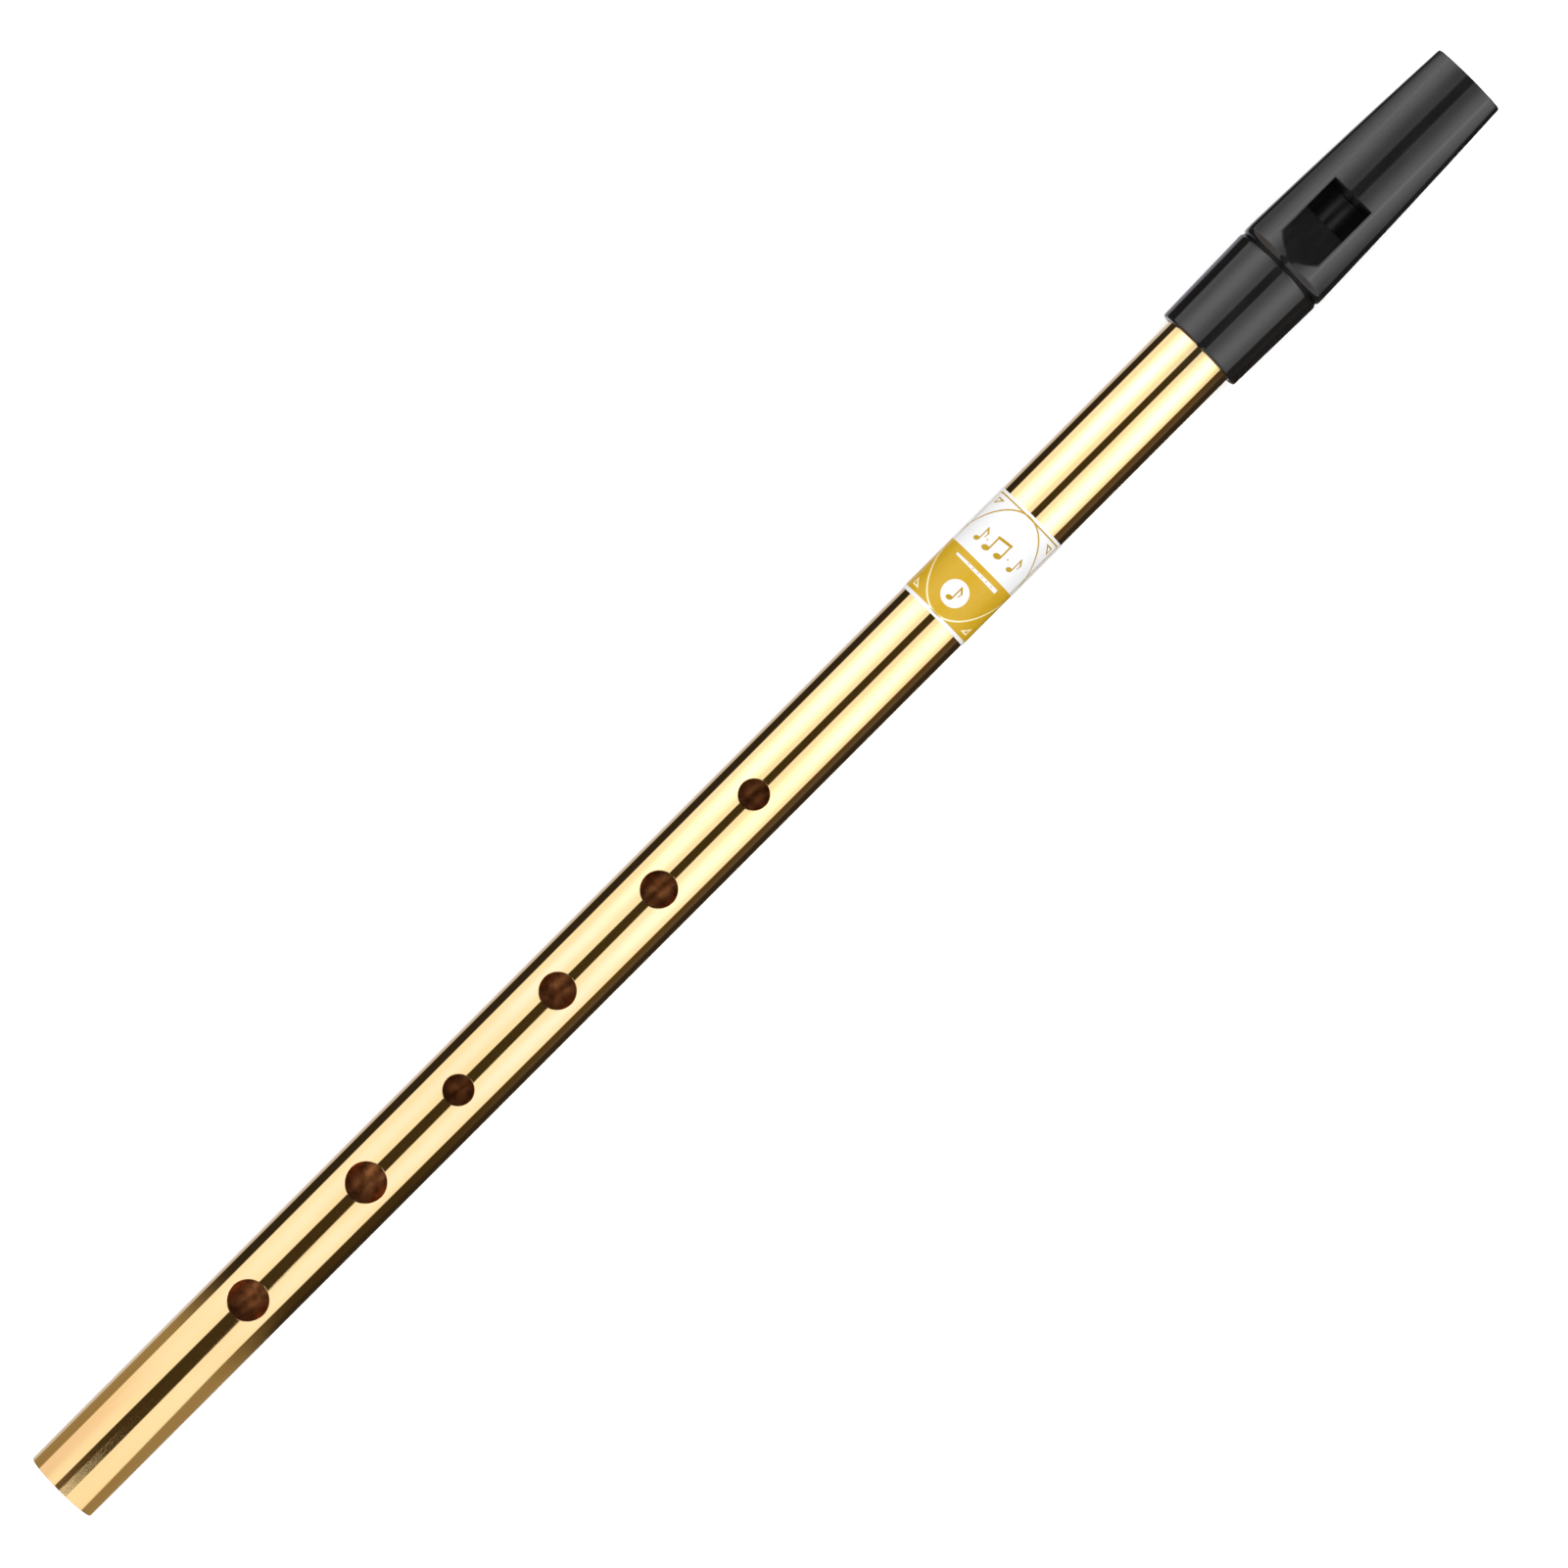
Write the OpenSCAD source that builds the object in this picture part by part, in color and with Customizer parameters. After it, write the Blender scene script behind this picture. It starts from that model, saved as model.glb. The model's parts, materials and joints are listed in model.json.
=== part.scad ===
// Tin whistle in C: a brass tube with six finger holes and a push-on plastic mouthpiece.
// X runs along the bore from the foot to the tip of the beak, with X = 0 on the foot's face.
// +Z points up through the finger holes and the window. All sizes are in millimetres.

/* [Tube] */
// Outside diameter of the brass tube
tube_od = 13.7; // [13.4:0.1:14.0]
// Wall thickness of the brass tube
tube_wall = 0.5; // [0.4:0.05:0.6]
// Length of tube that shows below the mouthpiece
tube_out = 269.2; // [266:0.1:275]

/* [Finger holes] */
// Distance of hole 1, the lowest, from the foot
hole_1_x = 44.7; // [43:0.1:47]
// Distance of hole 2 from the foot
hole_2_x = 72.5; // [70:0.1:75]
// Distance of hole 3 from the foot
hole_3_x = 94.3; // [92:0.1:97]
// Distance of hole 4 from the foot
hole_4_x = 117.7; // [115:0.1:120]
// Distance of hole 5 from the foot
hole_5_x = 141.6; // [139:0.1:144]
// Distance of hole 6, the highest, from the foot
hole_6_x = 164.0; // [161:0.1:167]
// Diameter of holes 1 and 2
wide_hole_d = 7.0; // [6.4:0.1:7.4]
// Diameter of holes 4 and 5
middle_hole_d = 6.3; // [5.6:0.1:6.8]
// Diameter of holes 3 and 6
narrow_hole_d = 5.3; // [4.6:0.1:5.8]

/* [Label] */
// Distance of the label's lower edge from the foot
label_x = 206.2; // [200:0.1:235]
// Length of the label along the tube
label_len = 23.6; // [15:0.1:30]
// How far round the tube the label wraps, in degrees
label_wrap = 200; // [160:2:300]
// Thickness of the label
label_thick = 0.1; // [0.06:0.01:0.2]

/* [Mouthpiece] */
// Length of the mouthpiece from the socket's mouth to the tip of the beak
head_len = 63.8; // [62:0.1:68]
// Length of the socket collar up to the groove
collar_len = 19.1; // [18:0.1:20]
// Depth that the tube goes into the socket
socket_depth = 20.3; // [19:0.1:20.5]
// Outside diameter of the collar at its mouth
collar_mouth_d = 16.56; // [16:0.02:17]
// Outside diameter of the collar at the groove
collar_top_d = 17.38; // [17.1:0.02:17.5]
// Width of the groove above the collar
groove_w = 0.6; // [0.4:0.1:1.2]
// Depth of the groove
groove_depth = 0.4; // [0.1:0.05:0.5]
// Width and depth of the body above the groove
body_d = 17.42; // [17.2:0.02:17.8]
// Width across the tip of the beak
tip_w = 14.1; // [13.6:0.1:15]
// Height of the tip's upper face above the bore's axis
tip_top = 7.4; // [7.2:0.1:8.0]
// Height of the tip's lower face above the bore's axis
tip_bottom = 1.0; // [0.5:0.1:2.0]
// Radius of the crown across the body and the beak
crown_r = 10.8; // [10:0.1:12]

/* [Voicing] */
// Distance of the blade's edge from the socket's mouth
blade_x = 29.5; // [29:0.1:31]
// Length of the window from the blade's edge to the windway
window_len = 6.6; // [5.5:0.1:7]
// Width of the window and its ramp
window_w = 8.4; // [7.5:0.1:8.6]
// Length of the ramp that leads down to the blade
ramp_len = 8.3; // [7:0.1:9]
// Height of the blade's edge above the bore's axis
blade_z = 5.2; // [5.0:0.05:5.3]
// Thickness of the blade's edge
blade_edge = 0.3; // [0.2:0.05:0.4]
// Height of the windway where it meets the window
windway_h = 1.0; // [0.8:0.1:1.2]
// Height of the windway at the tip, where the player blows
windway_tip_h = 1.3; // [1.0:0.1:1.5]
// Width of the windway
windway_w = 8.3; // [7.4:0.1:8.3]

/* [Fit] */
// Radial clearance between the tube and the socket that slides on it
slide_gap = 0.04; // [0.02:0.01:0.08]
// Clearance round the plug in the beak
plug_gap = 0.02; // [0.01:0.01:0.05]

/* [Hidden] */
$fn = 96;

tube_r = tube_od / 2;
bore_r = tube_r - tube_wall;
socket_x = tube_out;
tube_end_x = socket_x + socket_depth;
tip_x = socket_x + head_len;
finger_holes = [
  [hole_1_x, wide_hole_d],
  [hole_2_x, wide_hole_d],
  [hole_3_x, narrow_hole_d],
  [hole_4_x, middle_hole_d],
  [hole_5_x, middle_hole_d],
  [hole_6_x, narrow_hole_d]
];

label_gap = 0.01;
label_r = tube_r + label_gap;

collar_top_x = socket_x + collar_len;
body_x = collar_top_x + groove_w;
body_r = body_d / 2;
rim_round = 0.6;
edge_break = 0.12;
// the body's corners stand out past its half width, and are rounded over at the groove
corner_r = 9.9;
corner_round = 1.2;

end_gap = 0.1;
shoulder_x = tube_end_x + end_gap;
chamber_r = 6.6;
plug_r = 6.1;
edge_x = socket_x + blade_x;
windway_x = edge_x + window_len;
ramp_x = edge_x - ramp_len;
windway_floor = blade_z - 0.5;

// the scoop under the beak is one arc that levels out just past the tip
scoop_x = windway_x + 1.7;
scoop_centre_x = tip_x + 2;
scoop_run = scoop_centre_x - scoop_x;
scoop_rise = body_r + tip_bottom;
scoop_r = (scoop_run * scoop_run + scoop_rise * scoop_rise) / (2 * scoop_rise);

// the crown's own axis slopes down towards the tip
crown_slope = atan((body_r - tip_top) / (tip_x - body_x));
over = 1;

// stands a shape that was built along Z up along X, from the given distance
module along_x(x) {
  translate([x, 0, 0])
    rotate([0, 90, 0])
      children();
}

// cuts across the whole width: an outline in X and Z, pushed out sideways
module across(width) {
  rotate([90, 0, 0])
    linear_extrude(height = width, center = true)
      children();
}

module tube() {
  color("#d9a441")
    difference() {
      along_x(0)
        cylinder(h = tube_end_x, r = tube_r);
      along_x(-over)
        cylinder(h = tube_end_x + 2 * over, r = bore_r);
      for (hole = finger_holes)
        translate([hole[0], 0, 0])
          cylinder(h = tube_od, d = hole[1]);
    }
}

module label() {
  color("#e8e2cf")
    along_x(label_x)
      rotate([0, 0, 180 - label_wrap / 2])
        rotate_extrude(angle = label_wrap)
          translate([label_r, 0])
            square([label_thick, label_len]);
}

module collar() {
  mouth_r = collar_mouth_d / 2;
  top_r = collar_top_d / 2;
  along_x(socket_x)
    rotate_extrude() {
      polygon([
        [0, 0],
        [mouth_r - rim_round, 0],
        [mouth_r, rim_round],
        [top_r, collar_len - edge_break],
        [top_r - edge_break, collar_len],
        [0, collar_len]
      ]);
      translate([mouth_r - rim_round, rim_round])
        circle(r = rim_round);
    }
}

module groove_neck() {
  along_x(collar_top_x - over)
    cylinder(h = groove_w + 2 * over, r = collar_top_d / 2 - groove_depth);
}

// a round under half and a square upper half, which the crown then trims
module barrel() {
  length = tip_x - body_x;
  along_x(body_x)
    cylinder(h = length, r = body_r);
  translate([body_x, -body_r, 0])
    cube([length, body_d, body_r]);
}

// the outer limit of the body's corners, rounded over next to the groove
module corner_limit() {
  along_x(body_x)
    rotate_extrude() {
      polygon([
        [0, 0],
        [corner_r - corner_round, 0],
        [corner_r, corner_round],
        [corner_r, head_len],
        [0, head_len]
      ]);
      translate([corner_r - corner_round, corner_round])
        circle(r = corner_round);
    }
}

// the flat arch across the top, which falls towards the tip
module crown() {
  translate([body_x, 0, body_r - crown_r])
    rotate([0, 90 + crown_slope, 0])
      translate([0, 0, -2 * over])
        cylinder(h = head_len, r = crown_r);
}

// the beak seen from above, which narrows to the tip
module plan() {
  half = body_r + over;
  translate([0, 0, -half])
    linear_extrude(height = 2 * half)
      polygon([
        [body_x - over, -body_r],
        [body_x + over, -body_r],
        [tip_x, -tip_w / 2],
        [tip_x, tip_w / 2],
        [body_x + over, body_r],
        [body_x - over, body_r]
      ]);
}

module scoop() {
  translate([scoop_centre_x, 0, tip_bottom - scoop_r])
    rotate([90, 0, 0])
      cylinder(h = 3 * body_d, r = scoop_r, center = true);
}

module beak() {
  difference() {
    intersection() {
      barrel();
      corner_limit();
      crown();
      plan();
    }
    scoop();
  }
}

// the bore below the window, whose roof slopes down to the underside of the blade
module chamber() {
  under_edge = blade_z - blade_edge;
  difference() {
    along_x(shoulder_x - over)
      cylinder(h = windway_x - shoulder_x + over, r = chamber_r);
    across(2 * body_d)
      polygon([
        [shoulder_x - 2 * over, chamber_r + over],
        [shoulder_x + 0.4, chamber_r + 0.1],
        [edge_x, under_edge],
        [edge_x, chamber_r + over]
      ]);
  }
}

// the window and the ramp that runs down to the blade's edge
module window() {
  ramp_rise = body_r - blade_z;
  high = body_r + over;
  across(window_w)
    polygon([
      [edge_x, 0],
      [edge_x, blade_z],
      [ramp_x - ramp_len * over / ramp_rise, high],
      [windway_x, high],
      [windway_x, 0]
    ]);
}

module windway() {
  across(windway_w)
    polygon([
      [windway_x - over, windway_floor - plug_gap],
      [windway_x - over, windway_floor + windway_h],
      [tip_x + over, windway_floor + windway_tip_h],
      [tip_x + over, windway_floor - plug_gap]
    ]);
}

// a round plug with one flat on top, between two places along X
module plug(from_x, to_x, r, flat_z) {
  intersection() {
    along_x(from_x)
      cylinder(h = to_x - from_x, r = r);
    translate([from_x - over, -r - over, -r - over])
      cube([to_x - from_x + 2 * over, 2 * (r + over), r + over + flat_z]);
  }
}

module mouthpiece() {
  color("#1d1d1f")
    difference() {
      union() {
        collar();
        groove_neck();
        beak();
      }
      along_x(socket_x - over)
        cylinder(h = shoulder_x - socket_x + over, r = tube_r + slide_gap);
      chamber();
      window();
      windway();
      plug(windway_x - over, tip_x + over, plug_r + plug_gap, windway_floor);
    }
}

module fipple_block() {
  color("#26262a")
    difference() {
      plug(windway_x, tip_x, plug_r, windway_floor - plug_gap);
      scoop();
    }
}

tube();
label();
mouthpiece();
fipple_block();
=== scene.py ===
import json
import math

import bpy
import numpy as np
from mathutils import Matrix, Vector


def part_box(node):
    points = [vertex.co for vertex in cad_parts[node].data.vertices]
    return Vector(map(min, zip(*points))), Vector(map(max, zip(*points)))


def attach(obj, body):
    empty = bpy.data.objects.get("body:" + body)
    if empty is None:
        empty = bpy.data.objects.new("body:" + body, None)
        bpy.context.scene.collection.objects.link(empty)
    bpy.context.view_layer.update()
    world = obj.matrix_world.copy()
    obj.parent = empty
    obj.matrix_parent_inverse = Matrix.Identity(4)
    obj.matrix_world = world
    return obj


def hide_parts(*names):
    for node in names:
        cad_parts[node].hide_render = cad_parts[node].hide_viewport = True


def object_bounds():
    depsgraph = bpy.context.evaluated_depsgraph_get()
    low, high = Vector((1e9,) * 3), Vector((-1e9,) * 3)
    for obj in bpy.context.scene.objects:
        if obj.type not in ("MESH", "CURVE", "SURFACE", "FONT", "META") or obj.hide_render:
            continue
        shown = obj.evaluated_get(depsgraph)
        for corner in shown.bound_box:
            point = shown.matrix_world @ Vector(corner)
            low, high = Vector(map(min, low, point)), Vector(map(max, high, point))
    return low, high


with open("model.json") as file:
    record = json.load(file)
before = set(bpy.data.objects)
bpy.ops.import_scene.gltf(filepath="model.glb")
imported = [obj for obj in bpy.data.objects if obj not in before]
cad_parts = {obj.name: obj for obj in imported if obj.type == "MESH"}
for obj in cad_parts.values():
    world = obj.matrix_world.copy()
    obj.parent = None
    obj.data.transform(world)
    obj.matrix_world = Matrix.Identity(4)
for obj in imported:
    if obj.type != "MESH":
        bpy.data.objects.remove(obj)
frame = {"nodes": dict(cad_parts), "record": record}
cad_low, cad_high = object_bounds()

# Lengths here are in millimetres. make_mesh() turns them into the frame's metres.
MM = 0.001


# ---------------------------------------------------------------- sizes taken from the frame

def box_mm(node):
    low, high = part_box(node)
    return np.array(low) / MM, np.array(high) / MM


def cad_finger_holes(tube_r):
    """(distance from the foot, diameter) of each finger hole, from the rims in the CAD tube's mesh."""
    points = np.array([v.co for v in frame["nodes"]["tube"].data.vertices]) / MM
    on_skin = abs(np.hypot(points[:, 1], points[:, 2]) - tube_r) < 0.02
    away_from_ends = (points[:, 0] > 5) & (points[:, 0] < points[:, 0].max() - 5)
    rims = np.sort(points[on_skin & away_from_ends & (points[:, 2] > 0), 0])
    groups = np.split(rims, np.nonzero(np.diff(rims) > 5)[0] + 1)
    return [((g[0] + g[-1]) / 2, g[-1] - g[0]) for g in groups]


_, tube_high = box_mm("tube")
head_low, head_high = box_mm("mouthpiece")
label_low, label_high = box_mm("label")
block_low, block_high = box_mm("fipple_block")
mounts = {m["name"]: m for m in frame["record"]["mounts"]}

PLUG_GAP = 0.02              # clearance between the plug and its seat
TUBE_R = tube_high[1]
BORE_R = mounts["foot_bore"]["dims"]["r_mm"]
TUBE_END = tube_high[0]
FINGER_HOLES = cad_finger_holes(TUBE_R)
SOCKET_X = head_low[0]
TIP_X = head_high[0]
BODY_R = head_high[1]
WINDWAY_X = block_low[0]
WINDWAY_FLOOR = block_high[2] + PLUG_GAP
LABEL_MID = (label_low[0] + label_high[0]) / 2
LABEL_R = label_high[2]


# ---------------------------------------------------------------- meshes

class Sheet:
    """Collects grids of points, with a normal at each, and welds them into one mesh."""

    def __init__(self):
        self.points, self.normals, self.quads, self.count = [], [], [], 0

    def add(self, grid, normals=None):
        rows, cols = grid.shape[:2]
        if normals is None:
            along, across = np.gradient(grid, axis=0), np.gradient(grid, axis=1)
            normals = np.cross(along, across)
        index = np.arange(rows * cols).reshape(rows, cols) + self.count
        corners = [index[:-1, :-1], index[1:, :-1], index[1:, 1:], index[:-1, 1:]]
        self.quads.append(np.stack(corners, -1).reshape(-1, 4))
        self.points.append(grid.reshape(-1, 3))
        self.normals.append(normals.reshape(-1, 3))
        self.count += rows * cols

    def welded(self):
        points = np.concatenate(self.points)
        normals = np.concatenate(self.normals)
        normals /= np.linalg.norm(normals, axis=1, keepdims=True) + 1e-12
        _, first, back = np.unique(np.round(points, 4), axis=0, return_index=True, return_inverse=True)
        back = back.reshape(-1)
        total = np.zeros((len(first), 3))
        np.add.at(total, back, normals)
        total /= np.linalg.norm(total, axis=1, keepdims=True) + 1e-12
        return points[first], back[np.concatenate(self.quads)], total


def make_mesh(name, points, quads, normals, material):
    data = bpy.data.meshes.new(name)
    data.from_pydata((points * MM).tolist(), [], quads.tolist())
    data.validate(verbose=False)
    data.shade_smooth()
    data.normals_split_custom_set_from_vertices(normals.tolist())
    data.materials.append(material)
    piece = bpy.data.objects.new(name, data)
    bpy.context.scene.collection.objects.link(piece)
    return piece


def arc(centre, radius, start, end, steps):
    """Points of an arc in a plane, with the angles in degrees."""
    angles = np.radians(np.linspace(start, end, steps + 1))
    return np.stack([centre[0] + radius * np.cos(angles), centre[1] + radius * np.sin(angles)], -1)


def turned(profile, angles):
    """Turns a profile of (x, radius) about X. Angle 0 is the top of the tube."""
    x, r = profile[:, :1], profile[:, 1:]
    return np.stack(np.broadcast_arrays(x, r * np.sin(angles), r * np.cos(angles)), -1)


# ---------------------------------------------------------------- brass tube

PATCH = 5.2          # half the side of the square patch round each finger hole
PATCH_CELLS = 28     # cells along each side of a patch
BACK_CELLS = 60      # cells round the rest of the tube
PATCH_ROWS = 13      # rows from a patch's border to its hole
ROW_CROWDING = 0.8   # below 1 the rows are closer near the hole
CELL_LENGTH = 2.5    # length of the plain cells between patches
HEAD_LEVELS = 50     # grid lines from the last patch to the tube's end
HOLE_EDGE = 0.13     # radius of the rounded edge of a finger hole
BORE_EDGE = 0.6 * HOLE_EDGE     # the same on the bore's side
END_EDGE = 0.1       # radius of the rounded edges of the tube's ends
EDGE_STEPS = 4       # cells round each rounded edge


def round_hole(sheet, centre, hole_r, patch_angles):
    """One finger hole: outer wall, rounded edges, the cut through the wall and the bore's side."""
    side = np.linspace(-1, 1, PATCH_CELLS + 1)
    low, high = np.full(PATCH_CELLS, -1.0), np.full(PATCH_CELLS, 1.0)
    # Once round the square, as a place along X and a place across.
    border_x = np.concatenate([side[:-1], high, side[:0:-1], low, [-1.0]])
    border_t = np.concatenate([low, side[:-1], high, side[:0:-1], [-1.0]])
    angle = np.interp(border_t, side, patch_angles)
    turn = np.arctan2(TUBE_R * np.sin(angle), border_x * PATCH)
    ring = np.stack([np.cos(turn), np.sin(turn)], -1)

    def radial(row):
        """Unit normals that point straight away from the tube's middle line."""
        out = row * [0, 1, 1]
        return out / np.linalg.norm(out, axis=1, keepdims=True)

    def rings(radius, edge):
        """Rows of points on a wall, from the patch's border to the start of the rounded edge."""
        border = np.stack([border_x * PATCH, radius * np.sin(angle)], -1)
        inner = ring * (hole_r + edge)
        rows = []
        for u in np.linspace(0, 1, PATCH_ROWS) ** ROW_CROWDING:
            flat = border * (1 - u) + inner * u
            height = np.sqrt(radius**2 - flat[:, 1] ** 2)
            rows.append(np.stack([flat[:, 0] + centre, flat[:, 1], height], -1))
        return rows

    def rounding(last, edge, sign):
        """Rows of points and normals that round from a wall into the hole."""
        rows, normals = [], []
        for a in np.radians(np.linspace(0, 90, EDGE_STEPS + 1)[1:]):
            reach = hole_r + edge * (1 - math.sin(a))
            height = last[:, 2] - sign * edge * (1 - math.cos(a))
            rows.append(np.stack([centre + ring[:, 0] * reach, ring[:, 1] * reach, height], -1))
            inwards = np.concatenate([ring, np.zeros((len(ring), 1))], -1)
            normals.append(sign * math.cos(a) * radial(last) - math.sin(a) * inwards)
        return rows, normals

    points, normals = [], []
    for radius, edge, sign in ((TUBE_R, HOLE_EDGE, 1), (BORE_R, BORE_EDGE, -1)):
        rows = rings(radius, edge)
        edge_rows, edge_normals = rounding(rows[-1], edge, sign)
        points.append(rows + edge_rows)
        normals.append([sign * radial(row) for row in rows] + edge_normals)
    grid = np.array(points[0] + points[1][::-1])
    facing = np.array(normals[0] + normals[1][::-1])
    sheet.add(grid.transpose(1, 0, 2), facing.transpose(1, 0, 2))


def brass_tube(material):
    """The tube: plain rings between square patches, one round each finger hole, and rounded ends."""
    half = math.asin(PATCH / TUBE_R)
    patch_angles = np.linspace(-half, half, PATCH_CELLS + 1)
    back_angles = np.linspace(half, 2 * math.pi - half, BACK_CELLS + 1)
    around = np.concatenate([patch_angles, back_angles[1:]])
    sheet = Sheet()

    def straight(levels, angles):
        """Both sides of the wall over a stretch of the tube."""
        for radius, order in ((TUBE_R, 1), (BORE_R, -1)):
            profile = np.stack([levels, np.full(len(levels), radius)], -1)[::order]
            grid = turned(profile, angles)
            sheet.add(grid, grid * [0, order, order])

    start = END_EDGE
    for centre, diameter in FINGER_HOLES:
        patch_levels = centre + np.linspace(-PATCH, PATCH, PATCH_CELLS + 1)
        plain = max(2, round((patch_levels[0] - start) / CELL_LENGTH))
        straight(np.linspace(start, patch_levels[0], plain + 1), around)
        straight(patch_levels, back_angles)
        round_hole(sheet, centre, diameter / 2, patch_angles)
        start = patch_levels[-1]
    straight(np.linspace(start, TUBE_END - END_EDGE, HEAD_LEVELS), around)

    for x, out in ((0.0, 1), (TUBE_END, -1)):
        middle = x + out * END_EDGE
        flat = 90 + out * 90
        bored = flat + out * 90
        outer = arc((middle, TUBE_R - END_EDGE), END_EDGE, 90, flat, EDGE_STEPS)
        inner = arc((middle, BORE_R + END_EDGE), END_EDGE, flat, bored, EDGE_STEPS)
        profile = np.concatenate([outer, inner])[:: -out]
        unit_arcs = [arc((0, 0), 1, 90, flat, EDGE_STEPS), arc((0, 0), 1, flat, bored, EDGE_STEPS)]
        facing = np.concatenate(unit_arcs)[:: -out]
        sheet.add(turned(profile, around), turned(facing, around))
    return make_mesh("brass_tube", *sheet.welded(), material)


# ---------------------------------------------------------------- moulded plastic

def rounded_max(a, b, size):
    """The larger of two distances, with the edge between them rounded over."""
    blend = np.maximum(size - abs(a - b), 0) / size
    return np.maximum(a, b) + blend * blend * size / 4


SLOPE_REACH = 0.01           # distance over which a field's slope is measured
LONGEST_MOVE = 0.1           # most that a vertex moves at a time


def net(field, xs, ys, zs):
    """A closed mesh of quads on field = 0, with a vertex in each cell that the surface crosses."""
    axes = (xs, ys, zs)
    values = field(*np.meshgrid(xs, ys, zs, indexing="ij"))
    inside = values < 0
    cells = tuple(n - 1 for n in values.shape)
    total, hits = np.zeros(cells + (3,)), np.zeros(cells)
    crossings = []
    for axis in range(3):
        near = [slice(None)] * 3
        far = [slice(None)] * 3
        near[axis], far[axis] = slice(None, -1), slice(1, None)
        near, far = tuple(near), tuple(far)
        crossed = np.argwhere(inside[near] != inside[far])
        other = crossed.copy()
        other[:, axis] += 1
        v0, v1 = values[tuple(crossed.T)], values[tuple(other.T)]
        share = v0 / (v0 - v1)
        place = np.stack([axes[k][crossed[:, k]] for k in range(3)], -1)
        step = axes[axis][other[:, axis]] - axes[axis][crossed[:, axis]]
        place[:, axis] += share * step
        # The four cells round each crossed grid line make one quad.
        u, v = (axis + 1) % 3, (axis + 2) % 3
        around = []
        for du, dv in ((-1, -1), (0, -1), (0, 0), (-1, 0)):
            cell = crossed.copy()
            cell[:, u] += du
            cell[:, v] += dv
            np.add.at(total, tuple(cell.T), place)
            np.add.at(hits, tuple(cell.T), 1)
            around.append(cell)
        crossings.append((around, inside[tuple(crossed.T)]))
    used = hits > 0
    number = np.cumsum(used.ravel()).reshape(cells) - 1
    points = total[used] / hits[used][:, None]
    quads = []
    for around, starts_inside in crossings:
        quad = np.stack([number[tuple(c.T)] for c in around], -1)
        quads.append(np.where(starts_inside[:, None], quad, quad[:, ::-1]))

    def slope(p):
        parts = []
        for k in range(3):
            shift = np.zeros(3)
            shift[k] = SLOPE_REACH
            parts.append(field(*(p + shift).T) - field(*(p - shift).T))
        return np.stack(parts, -1) / (2 * SLOPE_REACH)

    # Each vertex moves down the slope onto the surface, a short way at a time.
    for _ in range(4):
        g = slope(points)
        move = (field(*points.T) / ((g * g).sum(1) + 1e-9))[:, None] * g
        points = points - np.clip(move, -LONGEST_MOVE, LONGEST_MOVE)
    g = slope(points)
    return points, np.concatenate(quads), g / (np.linalg.norm(g, axis=1, keepdims=True) + 1e-12)


def spaced(*stretches):
    """Grid lines from (end, spacing) pairs. The first pair holds the start."""
    lines, at = [stretches[0][0]], stretches[0][0]
    for end, spacing in stretches[1:]:
        count = max(1, round((end - at) / spacing))
        lines += list(np.linspace(at, end, count + 1)[1:])
        at = end
    return np.array(lines)


# Outside, from the socket's mouth to the beak's tip. A width called "half" is half the width.
COLLAR_END = SOCKET_X + 19.1
COLLAR_MOUTH_R = 8.28
COLLAR_END_R = 8.69
GROOVE_X = COLLAR_END + 0.25
GROOVE_DEPTH = 0.5
GROOVE_HALF = 0.25
GROOVE_SLANT = 1.41          # turns the sum of depth and side step into a distance
BODY_X = COLLAR_END + 0.1
CROWN_R = 10.8
TIP_TOP = 7.4
TIP_BOTTOM = 1.0
TIP_HALF = 7.05
TAPER_SWELL = 0.1            # how far the sides bow out from a straight taper

# How far each edge is rounded over.
MOUTH_EDGE = 0.45
COLLAR_EDGE = 0.7
SHOULDER = 1.7
SIDE_EDGE = 0.9
SCOOP_EDGE = 1.0
TIP_EDGE = 0.35
HOLLOW_EDGE = 0.2
WINDOW_EDGE = 0.16
PLUG_TOP_EDGE = 0.1
PLUG_END_EDGE = 0.15
PLUG_SCOOP_EDGE = 0.4

# Inside, and the window with its ramp.
SOCKET_R = TUBE_R + 0.04
SHOULDER_X = TUBE_END + 0.1
CHAMBER_R = 6.6
CEILING_GAP = 0.1            # how far above the chamber its sloping ceiling starts
CEILING_RISE = 4             # how steeply the ceiling ends past the blade's edge
PLUG_R = (block_high[1] - block_low[1]) / 2
OVERLAP = 1.0                # how far one hollow runs into the next
EDGE_X = WINDWAY_X - 6.6     # the blade's edge
EDGE_Z = 5.2
EDGE_THICK = 0.3
WINDOW_HALF = 4.2
RAMP_SLOPE = 0.42
RAMP_FRONT_X = BODY_X + 1.8
RAMP_FRONT_HALF = 0.9
RAMP_CORNER_LAG = 0.7        # how much the ramp's front falls back for each mm to the side
RAMP_FRONT_SLANT = 0.82      # turns a step along X into a distance from that slanted front
WINDWAY_HALF = WINDOW_HALF
WINDWAY_H = 1.0
WINDWAY_TIP_H = 1.3

# The hollow under the beak is part of a circle.
SCOOP_X = TIP_X + 2
SCOOP_START = WINDWAY_X + 1.7
SCOOP_RISE = BODY_R + TIP_BOTTOM
SCOOP_R = ((SCOOP_X - SCOOP_START) ** 2 + SCOOP_RISE ** 2) / (2 * SCOOP_RISE)


def scoop(x, z):
    """Above 0 in the hollow under the beak."""
    return SCOOP_R - np.hypot(x - SCOOP_X, z - TIP_BOTTOM + SCOOP_R)


def taper(x):
    """0 at the body's shoulder and 1 at the beak's tip."""
    return np.clip((x - BODY_X) / (TIP_X - BODY_X), 0, 1)


def crown_z(x):
    """Height of the body's top along its middle line."""
    return BODY_R - (BODY_R - TIP_TOP) * taper(x)


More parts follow.
